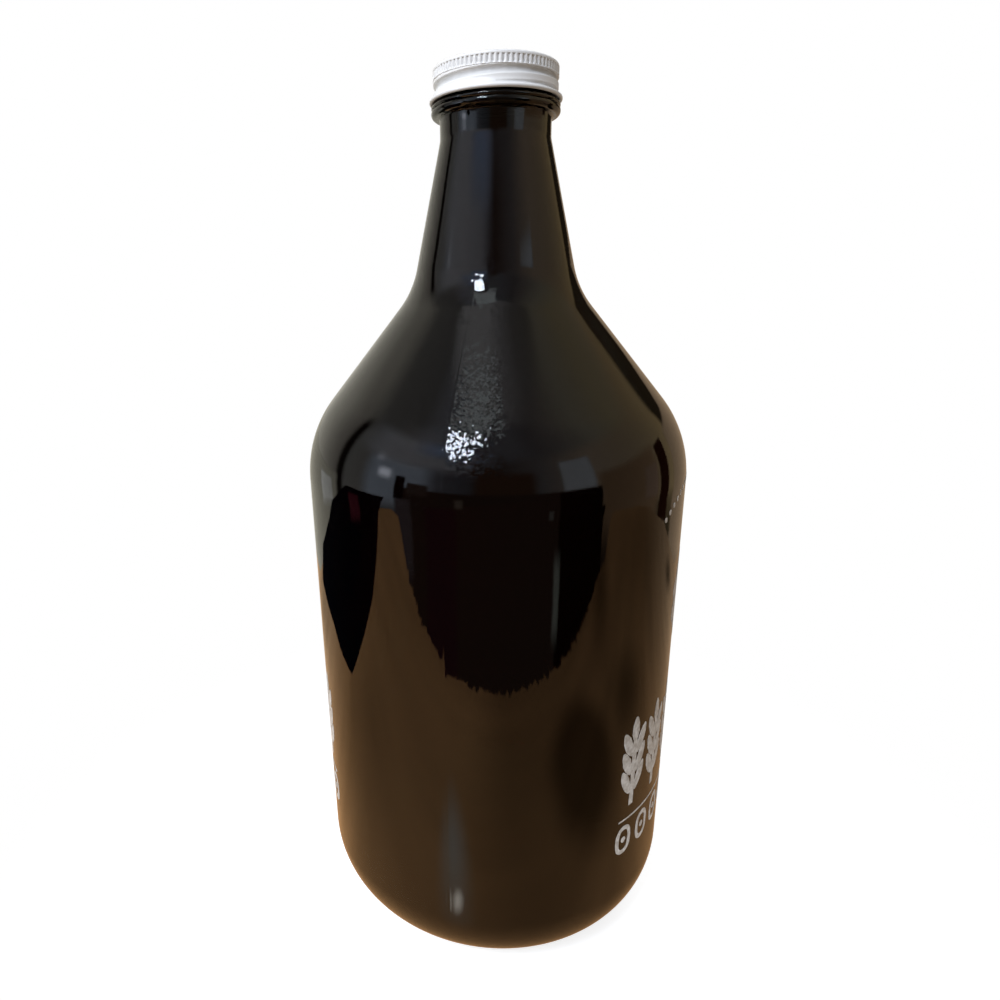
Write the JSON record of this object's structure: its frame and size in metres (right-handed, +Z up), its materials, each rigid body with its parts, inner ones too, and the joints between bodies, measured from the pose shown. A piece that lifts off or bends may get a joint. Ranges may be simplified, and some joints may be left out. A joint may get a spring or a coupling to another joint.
{
  "type": "beer growler",
  "caption": "Dark amber glass growler with a cone shoulder, a slim neck with a rounded ring, and a white metal screw cap.",
  "frame": {"origin": "centre of the foot, on the surface that the bottle stands on", "axes": "+Z up along the bottle's axis; -Y is the side that faces the camera in the picture"},
  "size_m": [0.1286, 0.1286, 0.285],
  "materials": {
    "amber_glass": "gloss, dark brown, nearly black where thick",
    "white_enamel": "semi-gloss white enamel on pressed steel"
  },
  "bodies": {
    "root": {"bottle": "amber_glass", "cap": "white_enamel"}
  },
  "joints": []
}
